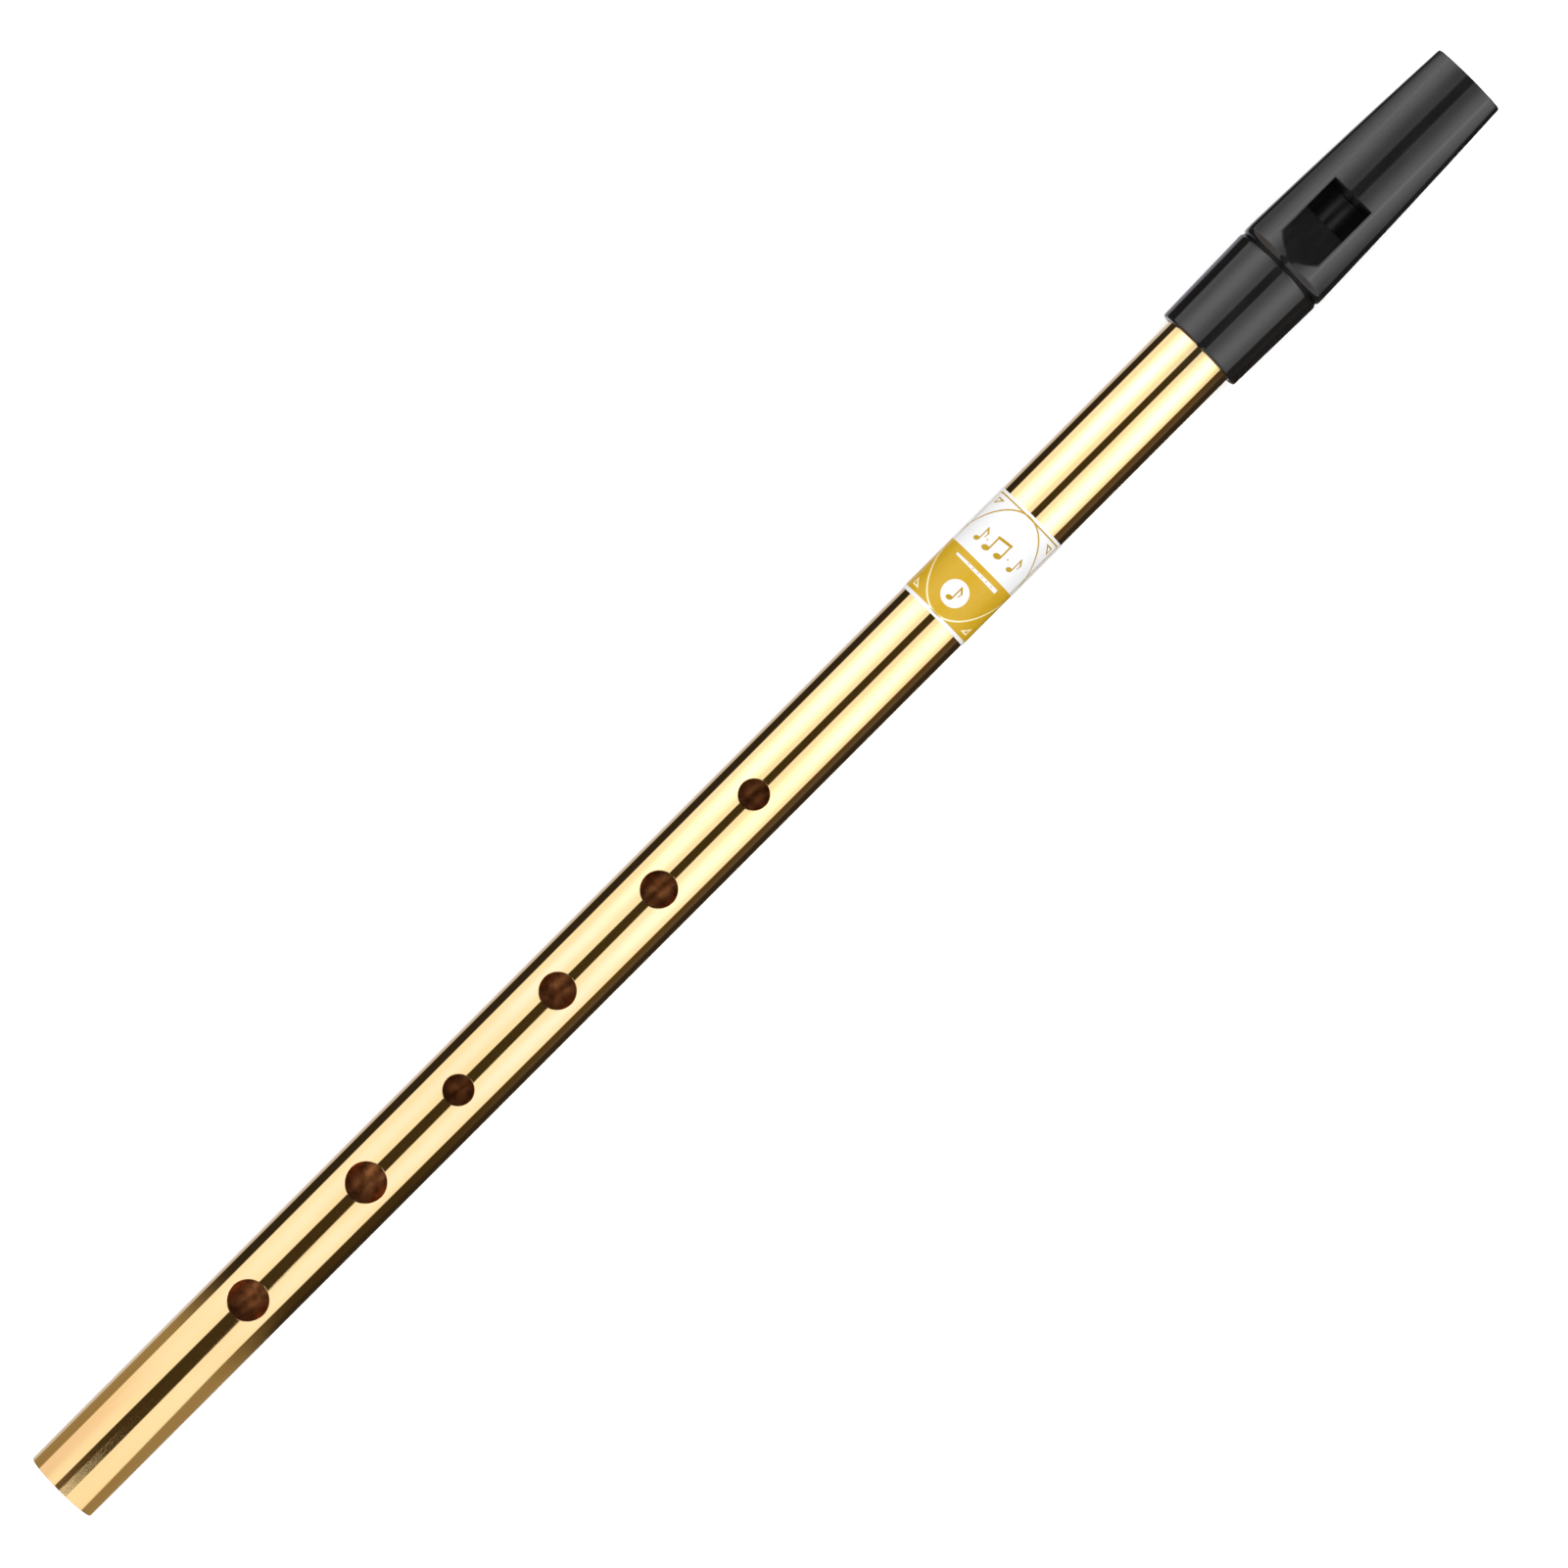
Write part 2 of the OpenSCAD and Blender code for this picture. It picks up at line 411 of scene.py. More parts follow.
def head_outside(x, y, z):
    """The mouthpiece's outer form: collar, groove and body."""
    radius = np.hypot(y, z)
    along = (x - SOCKET_X) / (COLLAR_END - SOCKET_X)
    collar = radius - COLLAR_MOUTH_R - (COLLAR_END_R - COLLAR_MOUTH_R) * along
    collar = rounded_max(collar, SOCKET_X - x, MOUTH_EDGE)
    collar = rounded_max(collar, x - COLLAR_END, COLLAR_EDGE)
    away = abs(x - GROOVE_X)
    groove = (radius - (COLLAR_END_R - GROOVE_DEPTH) - away) / GROOVE_SLANT
    groove = np.maximum(groove, away - GROOVE_HALF)

    run = taper(x)
    half = BODY_R - (BODY_R - TIP_HALF) * run + TAPER_SWELL * 4 * run * (1 - run)
    crown = np.hypot(y, z - crown_z(x) + CROWN_R) - CROWN_R
    side = half * (np.hypot(y / half, np.minimum(z, 0) / BODY_R) - 1)
    body = rounded_max(crown, BODY_X - x, SHOULDER)
    body = rounded_max(body, side, SIDE_EDGE)
    body = rounded_max(body, scoop(x, z), SCOOP_EDGE)
    body = rounded_max(body, x - TIP_X, TIP_EDGE)
    return np.minimum(np.minimum(collar, groove), body)


def head_hollows(x, y, z):
    """Below 0 in the socket, the chamber, the windway and the plug's seat."""
    radius = np.hypot(y, z)
    socket = np.maximum(radius - SOCKET_R, x - SHOULDER_X)
    ceiling_start = CHAMBER_R + CEILING_GAP
    fall = (ceiling_start - (EDGE_Z - EDGE_THICK)) / (EDGE_X - SHOULDER_X)
    ceiling = ceiling_start - fall * np.clip(x - SHOULDER_X, 0, EDGE_X - SHOULDER_X)
    ceiling = ceiling + CEILING_RISE * np.maximum(x - EDGE_X, 0)
    chamber = np.maximum(np.maximum(radius - CHAMBER_R, x - WINDWAY_X), z - ceiling)
    run = np.clip((x - WINDWAY_X) / (TIP_X - WINDWAY_X), 0, 1)
    roof = WINDWAY_FLOOR + WINDWAY_H + (WINDWAY_TIP_H - WINDWAY_H) * run
    windway = np.maximum(np.maximum(abs(y) - WINDWAY_HALF, z - roof), WINDWAY_FLOOR - z)
    before = WINDWAY_X - OVERLAP - x
    windway = np.maximum(windway, before)
    seat = np.maximum(np.maximum(radius - PLUG_R - PLUG_GAP, z - WINDWAY_FLOOR), before)
    return np.minimum(np.minimum(socket, chamber), np.minimum(windway, seat))


def window_cut(x, y, z):
    """Below 0 in the window and above the ramp."""
    above_ramp = (EDGE_Z + RAMP_SLOPE * (EDGE_X - x) - z) / math.hypot(1, RAMP_SLOPE)
    front = RAMP_FRONT_X + RAMP_CORNER_LAG * np.maximum(abs(y) - RAMP_FRONT_HALF, 0)
    outline = np.minimum(np.maximum(above_ramp, (front - x) * RAMP_FRONT_SLANT), EDGE_X - x)
    return np.maximum(np.maximum(outline, x - WINDWAY_X), np.maximum(abs(y) - WINDOW_HALF, -z))


def mouthpiece_field(x, y, z):
    solid = rounded_max(head_outside(x, y, z), -head_hollows(x, y, z), HOLLOW_EDGE)
    return rounded_max(solid, -window_cut(x, y, z), WINDOW_EDGE)


def block_field(x, y, z):
    plug = rounded_max(np.hypot(y, z) - PLUG_R, z - WINDWAY_FLOOR + PLUG_GAP, PLUG_TOP_EDGE)
    ends = abs(x - (WINDWAY_X + TIP_X) / 2) - (TIP_X - WINDWAY_X) / 2
    plug = rounded_max(plug, ends, PLUG_END_EDGE)
    return rounded_max(plug, scoop(x, z), PLUG_SCOOP_EDGE)


def mouthpiece(material):
    """The head, with the grid lines closest together at its edges."""
    xs = spaced(
        (SOCKET_X - 0.2, 0),
        (SOCKET_X + 1.0, 0.12),
        (COLLAR_END - 0.9, 0.6),
        (GROOVE_X + 0.6, 0.06),
        (RAMP_FRONT_X + 2.6, 0.12),
        (EDGE_X - 0.5, 0.25),
        (EDGE_X + 0.3, 0.1),
        (WINDWAY_X - 0.4, 0.3),
        (WINDWAY_X + 0.4, 0.1),
        (TIP_X - 1.2, 0.5),
        (TIP_X + 0.2, 0.1),
    )
    reach = BODY_R + 0.3
    half = spaced(
        (0.1, 0),
        (WINDOW_HALF - 0.3, 0.2),
        (WINDOW_HALF + 0.3, 0.08),
        (BODY_R - 1.5, 0.2),
        (reach, 0.15),
    )
    ys = np.concatenate([-half[::-1], half])
    zs = spaced((-reach, 0), (EDGE_Z - 0.8, 0.2), (reach, 0.13))
    return make_mesh("whistle_head", *net(mouthpiece_field, xs, ys, zs), material)


def fipple_block(material):
    xs = spaced((WINDWAY_X - 0.2, 0), (WINDWAY_X + 0.8, 0.15), (TIP_X - 1.2, 0.5), (TIP_X + 0.2, 0.15))
    across = np.linspace(-PLUG_R - 0.3, PLUG_R + 0.3, 60)
    return make_mesh("windway_block", *net(block_field, xs, across, across), material)


# ---------------------------------------------------------------- label

FILM_GAP = 0.005             # clearance between the film and the tube
FILM_ROWS = 60
FILM_COLUMNS = 121
FILM_EDGE_STEPS = 6


def label_film(material):
    """The printed film: a thin sleeve open at the back, with softened edges."""
    low_r = TUBE_R + FILM_GAP
    edge = (LABEL_R - low_r) / 2
    wrap = math.pi / 2 + math.asin((-label_low[2]) / LABEL_R)
    angles = np.linspace(-wrap, wrap, FILM_COLUMNS)
    mid_r = low_r + edge
    foot = arc((label_low[0] + edge, mid_r), edge, 270, 90, FILM_EDGE_STEPS)
    head = arc((label_high[0] - edge, mid_r), edge, 90, -90, FILM_EDGE_STEPS)

    def level(start, end, radius):
        return np.stack([np.linspace(start, end, FILM_ROWS), np.full(FILM_ROWS, radius)], -1)

    outside = level(foot[-1][0], head[0][0], LABEL_R)
    inside = level(head[-1][0], foot[0][0], low_r)
    profile = np.concatenate([foot, outside[1:-1], head, inside[1:]])
    sheet = Sheet()
    sheet.add(turned(profile[::-1], angles))
    middle_line = profile * [1, 0] + [0, mid_r]
    for angle, order in ((-wrap, 1), (wrap, -1)):
        closing = [turned(line, np.array([angle]))[:, 0] for line in (profile, middle_line)]
        sheet.add(np.stack(closing)[::order])
    return make_mesh("label_film", *sheet.welded(), material)


# ---------------------------------------------------------------- shader arithmetic

class Num:
    """A number inside a shader's node tree that takes part in plain arithmetic."""

    def __init__(self, tree, socket):
        self.tree, self.socket = tree, socket

    def op(self, operation, *others):
        node = self.tree.nodes.new("ShaderNodeMath")
        node.operation = operation
        for socket, value in zip(node.inputs, (self, *others)):
            if isinstance(value, Num):
                self.tree.links.new(value.socket, socket)
            else:
                socket.default_value = value
        return Num(self.tree, node.outputs[0])

    def __add__(self, other):
        return self.op("ADD", other)

    def __sub__(self, other):
        return self.op("SUBTRACT", other)

    def __mul__(self, other):
        return self.op("MULTIPLY", other)

    def __truediv__(self, other):
        return self.op("DIVIDE", other)

    def __neg__(self):
        return self * -1

    def __abs__(self):
        return self.op("ABSOLUTE")

    def max(self, other):
        return self.op("MAXIMUM", other)

    def min(self, other):
        return self.op("MINIMUM", other)

    def step(self, low, high):
        """0 below low, 1 above high and smooth between them; falls when high is below low."""
        node = self.tree.nodes.new("ShaderNodeMapRange")
        node.interpolation_type = "SMOOTHSTEP"
        flip = high < low
        node.inputs["From Min"].default_value = min(low, high)
        node.inputs["From Max"].default_value = max(low, high)
        node.inputs["To Min"].default_value = float(flip)
        node.inputs["To Max"].default_value = float(not flip)
        self.tree.links.new(self.socket, node.inputs["Value"])
        return Num(self.tree, node.outputs["Result"])


def hypot(a, b):
    return (a * a + b * b).op("SQRT")


def position(tree):
    """Place on the piece, in millimetres of the frame."""
    coordinates = tree.nodes.new("ShaderNodeTexCoord")
    split = tree.nodes.new("ShaderNodeSeparateXYZ")
    tree.links.new(coordinates.outputs["Object"], split.inputs[0])
    return [Num(tree, socket) * (1 / MM) for socket in split.outputs]


def vector(tree, x, y, z):
    node = tree.nodes.new("ShaderNodeCombineXYZ")
    for socket, value in zip(node.inputs, (x, y, z)):
        if isinstance(value, Num):
            tree.links.new(value.socket, socket)
        else:
            socket.default_value = value
    return node.outputs[0]


def noise(tree, place, scale, detail=2.0, roughness=0.5):
    """Noise between 0 and 1 at a place given as an (x, y, z) vector socket."""
    node = tree.nodes.new("ShaderNodeTexNoise")
    tree.links.new(place, node.inputs["Vector"])
    node.inputs["Scale"].default_value = scale
    node.inputs["Detail"].default_value = detail
    node.inputs["Roughness"].default_value = roughness
    return Num(tree, node.outputs["Fac"])


def mix(tree, amount, first, second):
    """Mixes two colours; each is an (r, g, b) or a socket."""
    node = tree.nodes.new("ShaderNodeMix")
    node.data_type = "RGBA"
    tree.links.new(amount.socket, node.inputs["Factor"])
    for name, colour in (("A", first), ("B", second)):
        socket = next(i for i in node.inputs if i.name == name and i.type == "RGBA")
        if isinstance(colour, tuple):
            socket.default_value = (*colour, 1)
        else:
            tree.links.new(colour, socket)
    return next(o for o in node.outputs if o.type == "RGBA")


def bump(tree, shader, height, distance_mm):
    """Fine relief in the shading, over a form that is already in the mesh."""
    node = tree.nodes.new("ShaderNodeBump")
    node.inputs["Strength"].default_value = 1.0
    node.inputs["Distance"].default_value = distance_mm * MM
    tree.links.new(height.socket, node.inputs["Height"])
    tree.links.new(node.outputs[0], shader.inputs["Normal"])


def new_material(name):
    material = bpy.data.materials.new(name)
    material.use_nodes = True
    return material, material.node_tree, material.node_tree.nodes["Principled BSDF"]


# ---------------------------------------------------------------- materials

POLISHED_BRASS = (0.89, 0.69, 0.36)
WARM_BRASS = (0.87, 0.65, 0.32)
BORE_BRASS = (0.68, 0.28, 0.10)
BORE_TARNISH = (0.30, 0.11, 0.04)
SKIN_ROUGHNESS = 0.015
BORE_ROUGHER = 0.28          # how much rougher the bore is than the polished skin


def brass_material():
    """Polished drawn brass: fine lengthwise drawing lines outside, dull brown metal in the bore."""
    material, tree, shader = new_material("polished_brass")
    shader.inputs["Metallic"].default_value = 1.0
    x, y, z = position(tree)
    radius = hypot(y, z)
    turn = y.op("ARCTAN2", z) * TUBE_R
    in_bore = radius.step(TUBE_R - 0.1, TUBE_R - 0.3)

    drawing = noise(tree, vector(tree, x * 0.012, turn, 0.0), 9.0, 3.0, 0.6)
    cloud = noise(tree, vector(tree, x * 0.2, turn, radius), 0.25, 2.0)
    skin = mix(tree, cloud.step(0.35, 0.7), POLISHED_BRASS, WARM_BRASS)
    tarnish = noise(tree, vector(tree, x, y, z), 0.6, 4.0)
    inside = mix(tree, tarnish.step(0.3, 0.7), BORE_BRASS, BORE_TARNISH)
    tree.links.new(mix(tree, in_bore, skin, inside), shader.inputs["Base Color"])

    polish = drawing.step(0.35, 0.75) * 0.015 + cloud * 0.01 + SKIN_ROUGHNESS
    roughness = polish + in_bore * BORE_ROUGHER
    tree.links.new(roughness.socket, shader.inputs["Roughness"])
    bump(tree, shader, drawing, 0.0008)
    return material


MOULDED_BLACK = (0.0045, 0.0045, 0.0048)
BLOCK_BLACK = (0.005, 0.005, 0.0053)
HOLLOW_ROUGHER = 0.15        # how much rougher the plastic is in the chamber


def plastic_material(name, colour, roughness, grain, hollow_r=0.0):
    """Moulded black plastic: a soft gloss with faint flow marks and fine handling scuffs.

    The walls of a hollow about the middle line, within hollow_r, are duller.
    """
    material, tree, shader = new_material(name)
    shader.inputs["IOR"].default_value = 1.5
    x, y, z = position(tree)
    flow = noise(tree, vector(tree, x * 0.25, y, z), 0.5, 3.0)
    shade = tuple(c * 1.5 for c in colour)
    tree.links.new(mix(tree, flow.step(0.35, 0.75), colour, shade), shader.inputs["Base Color"])
    fine = noise(tree, vector(tree, x, y, z), 9.0, 3.0, 0.65)
    scuff = noise(tree, vector(tree, x * 0.5, y * 2.5, z * 2.5), 1.5, 5.0, 0.7).step(0.55, 0.75)
    hollow = hypot(y, z).step(hollow_r + 0.3, hollow_r + 0.1) * z.step(EDGE_Z - 0.1, EDGE_Z - 0.3)
    polish = fine * 0.04 + scuff * 0.04 + roughness
    tree.links.new((polish + hollow * HOLLOW_ROUGHER).socket, shader.inputs["Roughness"])
    bump(tree, shader, fine + flow * 3.0, grain)
    return material


LABEL_WHITE = (0.54, 0.54, 0.545)
LABEL_GOLD = (0.395, 0.24, 0.008)
LABEL_CREAM = (0.60, 0.54, 0.35)
INK_GOLD = (0.30, 0.185, 0.002)      # the same gold in thin lines
PRINT_BLUR = 0.05            # softness of a printed edge
LINE = 0.14                  # half the width of a printed line
GOLD_START, GOLD_END = -11.1, -0.1
ALL_ROUND = 30.0             # further round than the film goes
FRAME_U, FRAME_V = 11.1, 8.6
RING_U = 11.2                # where the circle crosses the label's middle line
CORNER_U, CORNER_V = 10.3, 7.7
CORNER_LONG, CORNER_WIDE = 1.7, 2.3
CORNER_INSET, CORNER_LINE = 0.18, 0.13
NOTE_HEAD = 0.36             # a note's measures are for size 1
NOTE_LEAN, NOTE_FLAT = 0.35, 0.72
NOTE_STEM = 0.29             # from the head's middle to the stem
STEM_LINE = 0.08
NOTE_SIZE, BEAMED_SIZE = 1.7, 2.0
ORNAMENT_U = 2.6
DOT_U, DOT_R = 3.6, 0.16
DRAWING_U, DRAWING_HALF, DRAWING_FLARE = -1.55, 0.3, 0.018
DRAWING_HOLES = (-1.9, -0.85, 0.25, 1.3, 2.35, 3.6)
DRAWING_HOLE_U, DRAWING_HOLE_R = -1.5, 0.13
BADGE_U, BADGE_R = -6.6, 2.45


def label_material():
    """The label's print. u runs along the tube from the label's middle, v round it."""
    material, tree, shader = new_material("label_print")
    shader.inputs["Specular IOR Level"].default_value = 0.25
    x, y, z = position(tree)
    u = x - LABEL_MID
    turn = (-y).op("ARCTAN2", z)
    v = turn * LABEL_R

    def ink(distance, half=0.0):
        """1 where a signed distance is inside the half width."""
        return (distance - half).step(PRINT_BLUR, -PRINT_BLUR)

    def disc(cu, cv, radius, lean=0.0, flat=1.0):
        """A round spot, or a leaning oval where flat is below 1."""
        du, dv = u - cu, v - cv
        along = du * math.sin(lean) + dv * math.cos(lean)
        across = (du * math.cos(lean) - dv * math.sin(lean)) * (1 / flat)
        return ink((hypot(along, across) - radius) * flat)

    def bar(u0, u1, v0, v1):
        """A filled rectangle."""
        du = abs(u - (u0 + u1) / 2) - (u1 - u0) / 2
        dv = abs(v - (v0 + v1) / 2) - (v1 - v0) / 2
        return ink(du.max(dv))

    def stroke(u0, v0, u1, v1, half):
        """A straight stroke with round ends."""
        length = math.hypot(u1 - u0, v1 - v0)
        du, dv = (u1 - u0) / length, (v1 - v0) / length
        along = (u - u0) * du + (v - v0) * dv
        across = (u - u0) * dv - (v - v0) * du
        past = (-along).max(along - length).max(0.0)
        return ink(hypot(past, across), half)

    def note_head(cu, cv, size):
        return disc(cu, cv, NOTE_HEAD * size, lean=NOTE_LEAN, flat=NOTE_FLAT)

    def note(cu, cv, size):
        """An eighth note with its head at (cu, cv)."""
        stem_v = cv + NOTE_STEM * size
        bend_u, bend_v = cu + 1.05 * size, stem_v + 0.42 * size
        stem = stroke(cu + 0.05, stem_v, cu + 1.55 * size, stem_v, STEM_LINE * size)
        flag = stroke(cu + 1.5 * size, stem_v, bend_u, bend_v, 0.1 * size)
        tail = stroke(bend_u, bend_v, cu + 0.6 * size, stem_v + 0.36 * size, 0.06 * size)
        return note_head(cu, cv, size).max(stem).max(flag).max(tail)

    def beamed_notes(cu, cv, size):
        """Two notes joined by a beam, centred on (cu, cv)."""
        mark = None
        for side in (-1, 1):
            head_v = cv + side * 0.62 * size - NOTE_STEM * size
            stem_v = head_v + NOTE_STEM * size
            head_u = cu + side * 0.08 * size
            stem = stroke(head_u, stem_v, head_u + 1.4 * size, stem_v, STEM_LINE * size)
            part = note_head(head_u, head_v, size).max(stem)
            mark = part if mark is None else mark.max(part)
        low, high = cu + 1.32 * size, cu + 1.48 * size
        return mark.max(stroke(low, cv - 0.62 * size, high, cv + 0.62 * size, 0.13 * size))

    def corners(side_u):
        """A small outlined triangle in both corners at one end of the frame."""
        du = (u * side_u - CORNER_U) * -1
        dv = (abs(v) - CORNER_V) * -1
        slant_length = math.hypot(CORNER_LONG, CORNER_WIDE)
        slant = du * (CORNER_WIDE / slant_length) + dv * (CORNER_LONG / slant_length)
        slant = slant - CORNER_LONG * CORNER_WIDE / slant_length
        inside = (-du).max(-dv).max(slant)
        return ink(abs(inside + CORNER_INSET), CORNER_LINE)

    gold_area = bar(GOLD_START, GOLD_END, -ALL_ROUND, ALL_ROUND)
    bow = u.max(-u) / RING_U - turn.op("COSINE")
    slope = hypot(turn.op("SINE") * (1 / LABEL_R), 1 / RING_U)
    ring = ink(abs(bow / slope), LINE)
    frame_end = ink(abs(u - FRAME_U), LINE) * ink(abs(v) - FRAME_V)
    frame_side = ink(abs(abs(v) - FRAME_V), LINE) * ink(u - FRAME_U)
    lines = ring.max(frame_end).max(frame_side * ink(-u)).max(corners(1).max(corners(-1)))

    # Music notes and dots stand where the photo's label has its name.
    ornament = beamed_notes(ORNAMENT_U, -0.1, BEAMED_SIZE)
    for note_v in (-4.4, 3.7):
        ornament = ornament.max(note(ORNAMENT_U, note_v, NOTE_SIZE))
    for dot_v in (-2.6, 2.3):
        ornament = ornament.max(disc(DOT_U, dot_v, DOT_R))

    # A small drawing of a whistle, and a badge with a note in it.
    whistle = ink(abs(u - DRAWING_U) - (v * DRAWING_FLARE + DRAWING_HALF)) * bar(-2.5, -0.5, -5.0, 5.15)
    holes = None
    for hole_v in DRAWING_HOLES:
        dot = disc(DRAWING_HOLE_U, hole_v, DRAWING_HOLE_R)
        holes = dot if holes is None else holes.max(dot)
    badge = disc(BADGE_U, 0.0, BADGE_R)
    key_note = note(-7.7, -0.3, NOTE_SIZE)

    worn = noise(tree, vector(tree, u, v, 0.0), 1.2, 4.0)
    gold = mix(tree, worn, LABEL_GOLD, tuple(c * 0.93 for c in LABEL_GOLD))
    white = mix(tree, worn, LABEL_WHITE, tuple(c * 0.97 for c in LABEL_WHITE))
    colour = mix(tree, gold_area, white, gold)
    line_colour = mix(tree, gold_area, INK_GOLD, LABEL_CREAM)
    colour = mix(tree, lines, colour, line_colour)
    colour = mix(tree, ornament, colour, INK_GOLD)
    colour = mix(tree, whistle.max(badge), colour, white)
    colour = mix(tree, holes.max(key_note), colour, INK_GOLD)
    tree.links.new(colour, shader.inputs["Base Color"])
    fine = noise(tree, vector(tree, u, v, 0.0), 12.0, 2.0)
    tree.links.new((fine * 0.08 + 0.16).socket, shader.inputs["Roughness"])
    bump(tree, shader, fine, 0.0015)
    return material


PAPER = (0.93, 0.93, 0.93)
PAPER_SHADE = (0.91, 0.91, 0.91)


def floor_material():
    """Plain pale paper with hardly any grain."""
    material, tree, shader = new_material("floor_paper")
    shader.inputs["Roughness"].default_value = 1.0
    x, y, z = position(tree)
    grain = noise(tree, vector(tree, x, y, z), 0.4, 3.0)
    tree.links.new(mix(tree, grain, PAPER, PAPER_SHADE), shader.inputs["Base Color"])
    shader.inputs["Specular IOR Level"].default_value = 0.0
    return material


# ---------------------------------------------------------------- pieces

head_plastic = plastic_material("moulded_black", MOULDED_BLACK, 0.07, 0.0006, CHAMBER_R)
block_plastic = plastic_material("block_black", BLOCK_BLACK, 0.18, 0.001)
pieces = [
    (brass_tube(brass_material()), "tube", "body_tube", "brass"),
    (label_film(label_material()), "label", "body_tube", "label_film"),
    (mouthpiece(head_plastic), "mouthpiece", "head", "black_plastic"),
    (fipple_block(block_plastic), "fipple_block", "head", "block_plastic"),
]
for piece, node, body, slot in pieces:
    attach(piece, body)
    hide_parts(node)


# ---------------------------------------------------------------- stage, light and camera

FLOOR_HALF = 6.0             # metres


def floor(height):
    corners = [(FLOOR_HALF * a, FLOOR_HALF * b, height) for a, b in ((-1, -1), (1, -1), (1, 1), (-1, 1))]
    data = bpy.data.meshes.new("floor")
    data.from_pydata(corners, [], [(0, 1, 2, 3)])
    data.materials.append(floor_material())
    piece = bpy.data.objects.new("floor", data)
    bpy.context.scene.collection.objects.link(piece)
    piece.visible_glossy = False     # the tube mirrors the studio alone


# What a polished piece mirrors. A tilt is in degrees from overhead, + towards +Y. A lean is how far
# a direction slopes along the tube: - towards the foot, + towards the head.
TUBE_LEAN = (-0.11, 0.07)            # the range that the tube mirrors in the main view
PAST_TUBE = (0.0635, 0.066)          # from the tube to the head
BOX_LEAN_END = (2.8, 2.2)            # the softboxes' far ends

BOX_PEAK = 52.0                      # tilt of the brightest line of each softbox
BOX_REACH = 36.0
PEAK_SHINE, PEAK_SHINE_LEAN = 2.2, 10.0
BOX_BASE = 1.15
BOX_WHITE = (BOX_BASE, BOX_BASE, BOX_BASE)
BOX_WARM = (1.15, 1.07, 0.99)        # towards the foot
BOX_BLUSH = (1.03, 0.85, 0.78)       # at the foot, on the +Y side
BOX_HEAD = (0.75, 0.75, 0.75)        # as the head mirrors it
HEAD_SHINE = 0.95                    # the brightest line as the head mirrors it
CORE_TINT = (0.55, 0.27, 0.80)       # the brightest line's colour, which makes it paler on brass
CORE_WHITE = (1.0, 1.0, 1.0)

LAMP, LAMP_HALF = 53.0, 3.5          # tilt and half width of the fine bright lines along the head
LAMP_PLUS, LAMP_MINUS = 0.4, 0.9

SLIT_PLUS, SLIT_MINUS = 11.6, 10.3   # tilt of the slit's edges at the middle of the tube
SLIT_SOFT = 1.5
SLIT_PLUS_LEAN, SLIT_MINUS_LEAN = -45.0, 115.0
SLIT_FLARE_START, SLIT_FLARE, SLIT_FLARE_MOST = 0.072, 500.0, 5.5
SLIT_END = (-0.1063, -0.1068)        # where the slit's -Y half stops, at the foot

OUTER_PLUS, OUTER_MINUS = 98.4, 91.5     # tilt of the softboxes' outer edges
OUTER_SOFT = 2.0
OUTER_PLUS_LEAN, OUTER_MINUS_LEAN = 80.0, 100.0
OUTER_FLARE_START, OUTER_FLARE = 0.085, 700.0

DARK_SLIT = (0.055, 0.038, 0.012)
DARK_SIDES = (0.11, 0.065, 0.02)
DARK_FAR_MINUS = (0.11, 0.085, 0.07)
DARK_FOOT = (0.055, 0.036, 0.014)
DARK_LOW = (0.035, 0.025, 0.016)
DARK_SLIT_END = (0.24, 0.16, 0.09)
DARK_FOOT_FILL = (0.36, 0.27, 0.15)
DARK_PAST_ENDS = (0.035, 0.035, 0.038)
GLOW = (0.75, 0.72, 0.80)            # pale room light at the lowest edge on the +Y side

SKY_LOW, SKY_HIGH = (0.3, 0.3, 0.3), (2.7, 2.7, 2.7)
BACKDROP = (0.96, 0.96, 0.96)


def softbox_shine(tilt, near, over_head):
    """How far the softboxes rise above their base brightness, brightest along one line of each."""
    swell = ((abs(tilt) - BOX_PEAK) / BOX_REACH).max(-1.0).min(1.0)
    swell = (swell * math.pi).op("COSINE") * 0.5 + 0.5
    peak = near * PEAK_SHINE_LEAN + PEAK_SHINE
    shine = swell * (peak - BOX_BASE)
    shine = shine * (over_head * (HEAD_SHINE - 1) + 1)
    shine = shine + abs(-tilt - LAMP).step(LAMP_HALF, 0.0) * over_head * LAMP_MINUS
    return shine + abs(tilt - LAMP).step(LAMP_HALF, 0.0) * over_head * LAMP_PLUS


def softbox_area(tilt, along, near, slit_end):
    """1 inside either softbox. A dark slit parts them overhead."""
    slit_plus = near * SLIT_PLUS_LEAN + SLIT_PLUS
    slit_minus = (-near).max(0.0) * SLIT_MINUS_LEAN + SLIT_MINUS
    widening = ((-near - SLIT_FLARE_START).max(0.0) * SLIT_FLARE).min(SLIT_FLARE_MOST)
    slit_minus = slit_minus + widening
    edge_plus = (tilt - slit_plus).step(-SLIT_SOFT, SLIT_SOFT)
    edge_minus = (-tilt - slit_minus).step(-SLIT_SOFT, SLIT_SOFT)
    lit = edge_plus.max(edge_minus).max(slit_end * tilt.step(0.0, -4.0))
    lit = lit * abs(along).step(*BOX_LEAN_END)
    outer_plus = tilt - near * OUTER_PLUS_LEAN
    lit = lit * outer_plus.step(OUTER_PLUS + OUTER_SOFT, OUTER_PLUS - OUTER_SOFT)
    flare = (-near - OUTER_FLARE_START).max(0.0) * OUTER_FLARE
    outer_minus = -tilt - near.min(0.0) * OUTER_MINUS_LEAN - flare
    return lit * outer_minus.step(OUTER_MINUS + OUTER_SOFT, OUTER_MINUS - OUTER_SOFT)


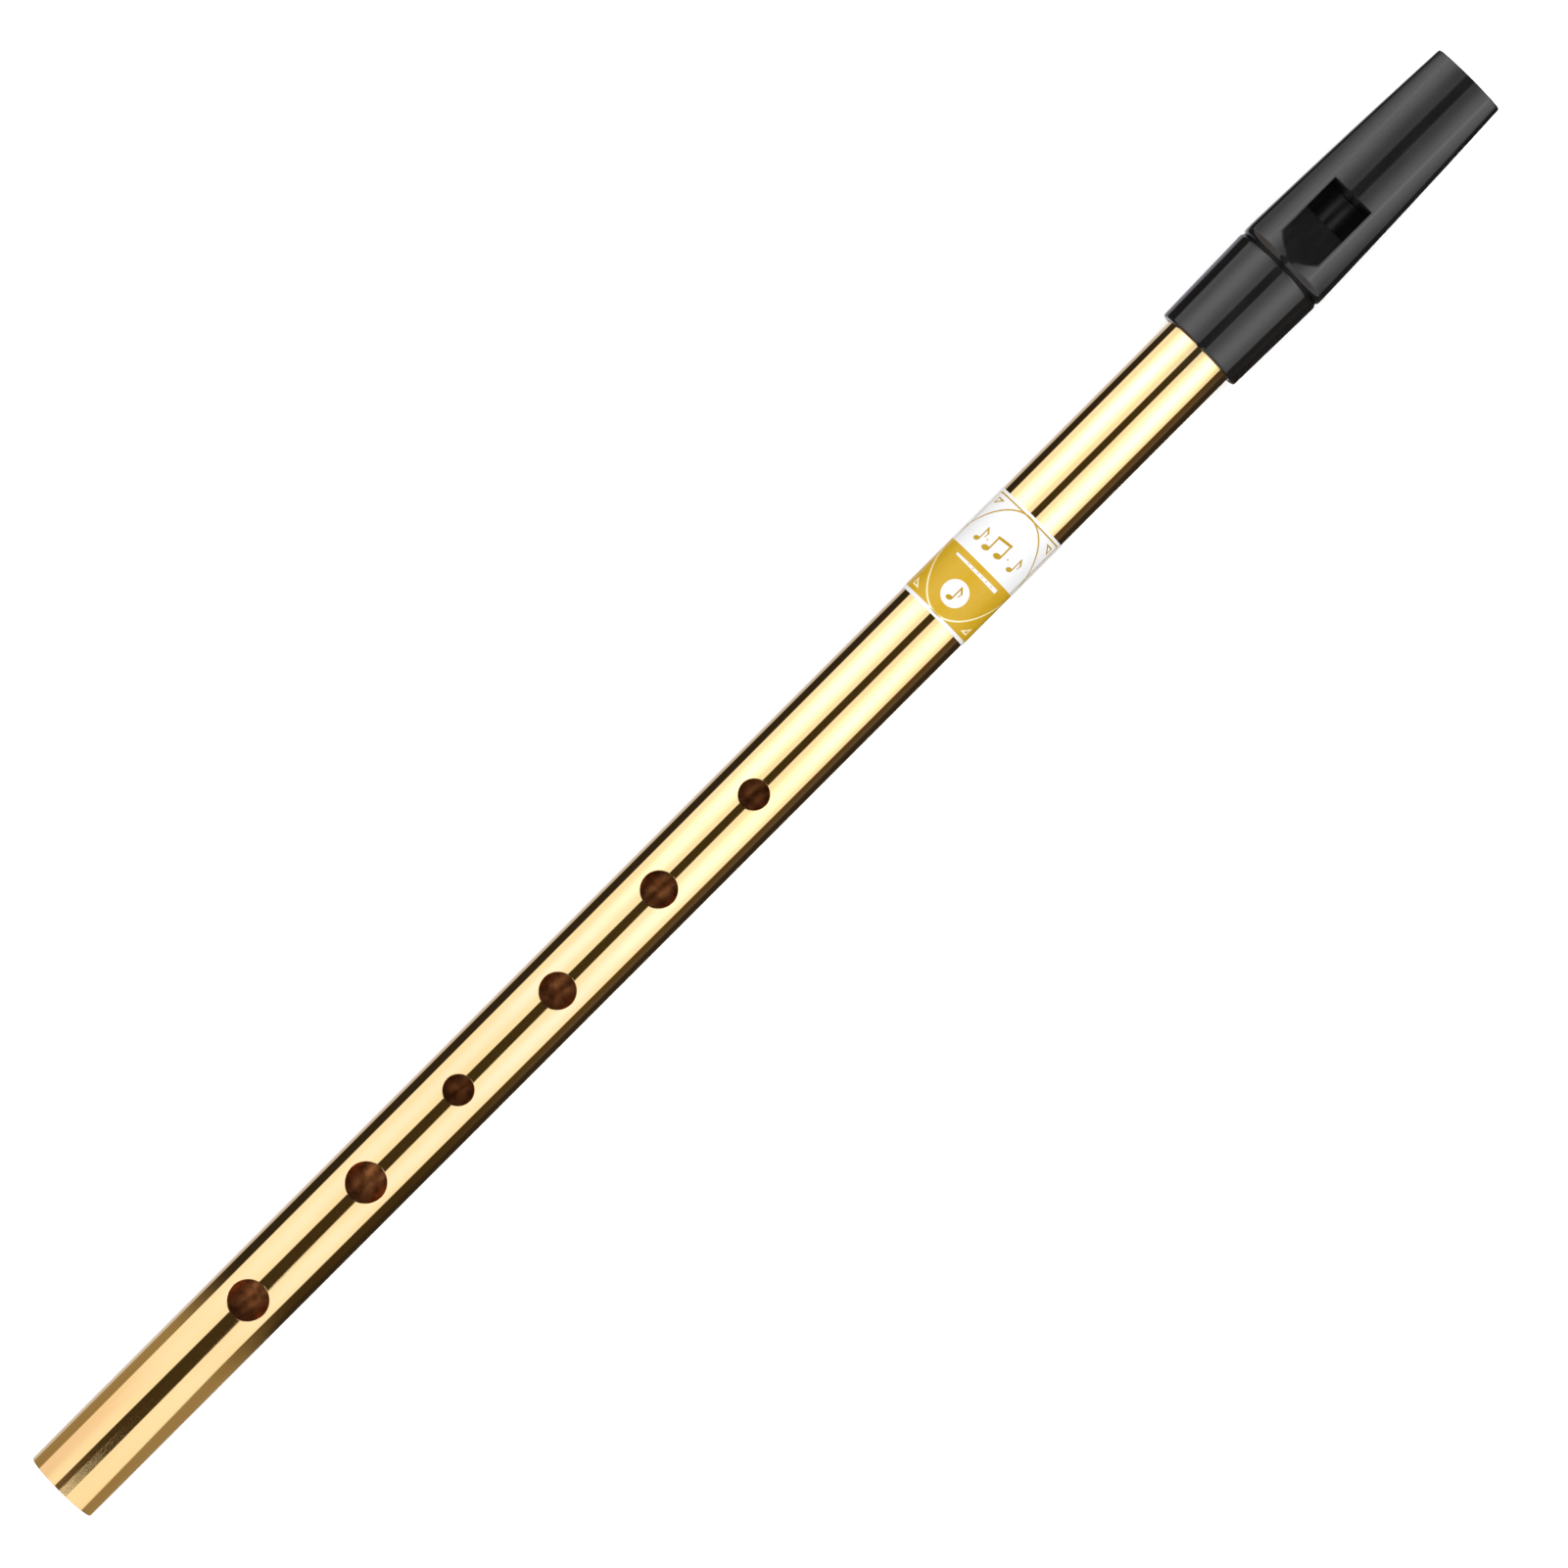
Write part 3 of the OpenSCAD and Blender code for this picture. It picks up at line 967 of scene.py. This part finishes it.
def softbox_colour(tree, tilt, along, shine, over_head):
    """The softboxes' base colour, warmer towards the foot, with the shine added to it."""
    warm = along.step(-0.06, -0.11)
    blush = along.step(-0.085, -0.108) * tilt.step(30.0, 60.0)
    base = mix(tree, warm, BOX_WHITE, BOX_WARM)
    base = mix(tree, blush, base, BOX_BLUSH)
    base = mix(tree, over_head, base, BOX_HEAD)
    core = mix(tree, along.step(-0.035, 0.01), CORE_TINT, CORE_WHITE)
    box = tree.nodes.new("ShaderNodeVectorMath")
    box.operation = "MULTIPLY_ADD"
    tree.links.new(core, box.inputs[0])
    tree.links.new(shine.socket, box.inputs[1])
    tree.links.new(base, box.inputs[2])
    return box.outputs[0]


def dark_room(tree, tilt, along, slit_end):
    """The dim room round the softboxes: each layer lies over the ones before it."""
    fill = along.step(-0.078, -0.088) * abs(tilt).step(80.0, 90.0)
    low = abs(tilt).step(118.0, 126.0).max(tilt.step(85.0, 95.0))
    past_ends = along.step(0.062, 0.066).max(along.step(-0.12, -0.14))
    layers = [
        (abs(tilt).step(30.0, 50.0), DARK_SIDES),
        ((-tilt).step(104.0, 110.0), DARK_FAR_MINUS),
        (along.step(-0.03, -0.06), DARK_FOOT),
        (low, DARK_LOW),
        (slit_end, DARK_SLIT_END),
        (fill, DARK_FOOT_FILL),
        (past_ends, DARK_PAST_ENDS),
        (tilt.step(134.0, 140.0) * 0.9, GLOW),
    ]
    dark = DARK_SLIT
    for amount, colour in layers:
        dark = mix(tree, amount, dark, colour)
    return dark


def studio_light():
    """The sky. Polished pieces mirror two long softboxes; all else is lit by a plain white sky."""
    world = bpy.data.worlds.new("studio")
    bpy.context.scene.world = world
    world.use_nodes = True
    tree = world.node_tree
    coordinates = tree.nodes.new("ShaderNodeTexCoord")
    split = tree.nodes.new("ShaderNodeSeparateXYZ")
    tree.links.new(coordinates.outputs["Generated"], split.inputs[0])
    x, y, z = [Num(tree, socket) for socket in split.outputs]
    tilt = y.op("ARCTAN2", z) * (180 / math.pi)
    along = x / hypot(y, z).max(0.05)
    near = along.max(TUBE_LEAN[0]).min(TUBE_LEAN[1])
    over_head = along.step(*PAST_TUBE)
    slit_end = along.step(*SLIT_END)

    shine = softbox_shine(tilt, near, over_head)
    box = softbox_colour(tree, tilt, along, shine, over_head)
    lit = softbox_area(tilt, along, near, slit_end)
    mirror = mix(tree, lit, dark_room(tree, tilt, along, slit_end), box)

    path = tree.nodes.new("ShaderNodeLightPath")
    plain = mix(tree, z.step(0.0, 1.0), SKY_LOW, SKY_HIGH)
    colour = mix(tree, Num(tree, path.outputs["Is Glossy Ray"]), plain, mirror)
    colour = mix(tree, Num(tree, path.outputs["Is Camera Ray"]), colour, BACKDROP)
    tree.links.new(colour, tree.nodes["Background"].inputs["Color"])


CAMERA_PLACE = (0.1688, -0.0023, 1.575)      # metres
CAMERA_TURN = -45                            # degrees, about the line of sight
CAMERA_ANGLE = 9.53                          # degrees, across the picture


def photo_camera():
    """Looks straight down, turned so that the whistle lies along the picture's diagonal."""
    camera = bpy.data.objects.new("camera", bpy.data.cameras.new("camera"))
    bpy.context.scene.collection.objects.link(camera)
    camera.data.sensor_fit = "HORIZONTAL"
    camera.data.angle = math.radians(CAMERA_ANGLE)
    camera.location = CAMERA_PLACE
    camera.rotation_euler = (0, 0, math.radians(CAMERA_TURN))
    bpy.context.scene.camera = camera


floor(cad_low[2])
studio_light()
photo_camera()
bpy.context.scene.view_settings.view_transform = "Standard"
